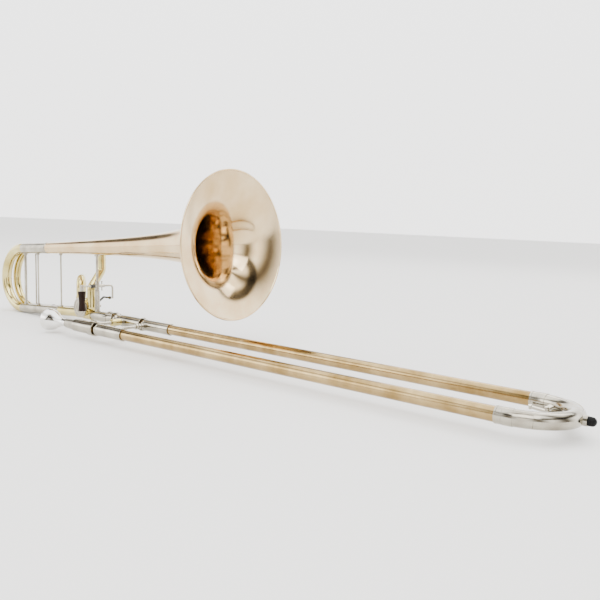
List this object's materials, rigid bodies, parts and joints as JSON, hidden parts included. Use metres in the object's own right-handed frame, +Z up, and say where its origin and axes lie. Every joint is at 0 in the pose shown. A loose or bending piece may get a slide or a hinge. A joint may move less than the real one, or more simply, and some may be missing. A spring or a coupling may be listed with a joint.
{
  "type": "trombone",
  "caption": "Tenor trombone with a flared bell, a telescoping hand slide, tuning slides, a thumb-worked rotary valve and a cup mouthpiece.",
  "frame": {"origin": "on the axis of the slide leg nearest the bell, at the joint where the slide section screws on to the bell section, which the left hand holds", "axes": "+X forward along the hand slide towards its crook, +Z up from the slide to the bell, -Y towards the leg that carries the mouthpiece"},
  "size_m": [1.1204, 0.2213, 0.2682],
  "materials": {
    "rose_brass": "lacquered, polished rose brass",
    "yellow_brass": "lacquered, polished yellow brass",
    "slide_brass": "lacquered, drawn brass tube",
    "nickel_silver": "polished nickel silver",
    "silver_plate": "bright silver plate",
    "slide_chrome": "hard chrome, honed",
    "dark_steel": "darkened spring steel",
    "dark_wood": "dark oiled hardwood",
    "black_rubber": "moulded black rubber",
    "cork": "natural cork",
    "felt": "pressed felt"
  },
  "bodies": {
    "bell_section": {"bell": "rose_brass", "leg_rings": "nickel_silver", "tuning_legs": "nickel_silver", "neckpipe": "yellow_brass", "neck_stay": "nickel_silver", "valve_casing": "yellow_brass", "valve_front_bearing": "nickel_silver", "valve_front_cap": "nickel_silver", "stop_plate": "nickel_silver", "stop_bumpers": "black_rubber", "gooseneck": "nickel_silver", "slide_receiver": "nickel_silver", "bell_brace_lower": "nickel_silver", "bell_brace_upper": "nickel_silver", "lever_fitting": "nickel_silver", "hinge_screws": "nickel_silver", "lever_spring": "dark_steel", "f_riser_tube": "yellow_brass", "f_return_bow": "yellow_brass", "f_legs": "nickel_silver", "f_ferrules": "nickel_silver", "f_stays": "nickel_silver"},
    "tuning_slide": {"tuning_bow": "yellow_brass", "upper_tuning_sleeve": "nickel_silver", "lower_tuning_sleeve": "nickel_silver", "tuning_braces": "nickel_silver"},
    "f_tuning_slide": {"f_tuning_sleeves": "nickel_silver", "f_tuning_bow": "yellow_brass", "f_tuning_bar": "nickel_silver"},
    "thumb_lever": {"lever_shaft": "nickel_silver", "lever_socket": "nickel_silver", "thumb_grip": "dark_wood"},
    "link": {"lever_link": "dark_steel"},
    "valve_rotor": {"rotor": "nickel_silver", "stop_arm": "nickel_silver", "rotor_screw": "nickel_silver"},
    "bell_lock_nut": {"lock_nut": "nickel_silver"},
    "slide_section": {"slide_tenon": "nickel_silver", "cork_barrels": "nickel_silver", "barrel_corks": "felt", "inner_tubes": "slide_chrome", "stockings": "slide_chrome", "mouthpiece_receiver": "nickel_silver", "inner_brace": "nickel_silver", "inner_brace_collar": "yellow_brass"},
    "lock_ring": {"slide_lock_ring": "nickel_silver"},
    "mouthpiece_body": {"mouthpiece": "silver_plate"},
    "hand_slide_body": {"outer_tube_far": "slide_brass", "outer_tube_near": "slide_brass", "outer_sleeves": "nickel_silver", "lower_ferrules": "nickel_silver", "hand_brace": "nickel_silver", "crook": "nickel_silver", "crook_guard": "nickel_silver", "tip_ring": "nickel_silver", "rubber_tip": "black_rubber", "key_mounts": "nickel_silver", "key_screw": "nickel_silver"},
    "water_key_body": {"water_key": "nickel_silver", "key_pad": "cork"}
  },
  "joints": [
    {"name": "hand_slide", "type": "slide", "parent": "slide_section", "child": "hand_slide_body", "axis": [1, 0, 0], "range_m": [0, 0.59]},
    {"name": "main_tuning_slide", "type": "slide", "parent": "bell_section", "child": "tuning_slide", "axis": [-0.9979, 0, -0.0645], "range_m": [0, 0.062]},
    {"name": "f_tuning_slide_pull", "type": "slide", "parent": "bell_section", "child": "f_tuning_slide", "axis": [-0.9979, 0, -0.0645], "range_m": [0, 0.055]},
    {"name": "thumb_trigger", "type": "hinge", "parent": "bell_section", "child": "thumb_lever", "pos_m": [-0.05744, 0, 0.05174], "axis": [0, -1, 0], "range_deg": [0, 35.5], "stiffness_Nm_per_rad": 0.12, "springref_deg": -14.32},
    {"name": "link_pivot", "type": "hinge", "parent": "thumb_lever", "child": "link", "pos_m": [-0.05604, 0.03, 0.03009], "axis": [0, 1, 0], "range_deg": [0, 41.6]},
    {"name": "valve_turn", "type": "hinge", "parent": "bell_section", "child": "valve_rotor", "pos_m": [-0.08703, 0, 0.01195], "axis": [0, 1, 0], "range_deg": [0, 90.1]},
    {"name": "lock_nut_turn", "type": "hinge", "parent": "bell_section", "child": "bell_lock_nut", "pos_m": [-0.012, 0, 0], "axis": [1, 0, 0], "range_deg": [0, 180]},
    {"name": "slide_angle", "type": "hinge", "parent": "bell_section", "child": "slide_section", "pos_m": [0, 0, 0], "axis": [1, 0, 0], "range_deg": [-12, 12]},
    {"name": "slide_lock", "type": "hinge", "parent": "slide_section", "child": "lock_ring", "pos_m": [0.049, -0.0944, 0], "axis": [1, 0, 0], "range_deg": [0, 25]},
    {"name": "mouthpiece_pull", "type": "slide", "parent": "slide_section", "child": "mouthpiece_body", "axis": [-1, 0, 0], "range_m": [0, 0.025]},
    {"name": "water_key_press", "type": "hinge", "parent": "hand_slide_body", "child": "water_key_body", "pos_m": [0.7061, -0.01671, -0.00608], "axis": [0, 0.342, -0.9397], "range_deg": [0, 8], "stiffness_Nm_per_rad": 0.03, "springref_deg": -17.19}
  ],
  "couplings": [
    {"joint": "valve_turn", "follows": "thumb_trigger", "ratio": 2.535},
    {"joint": "link_pivot", "follows": "thumb_trigger", "ratio": 1.1692}
  ]
}
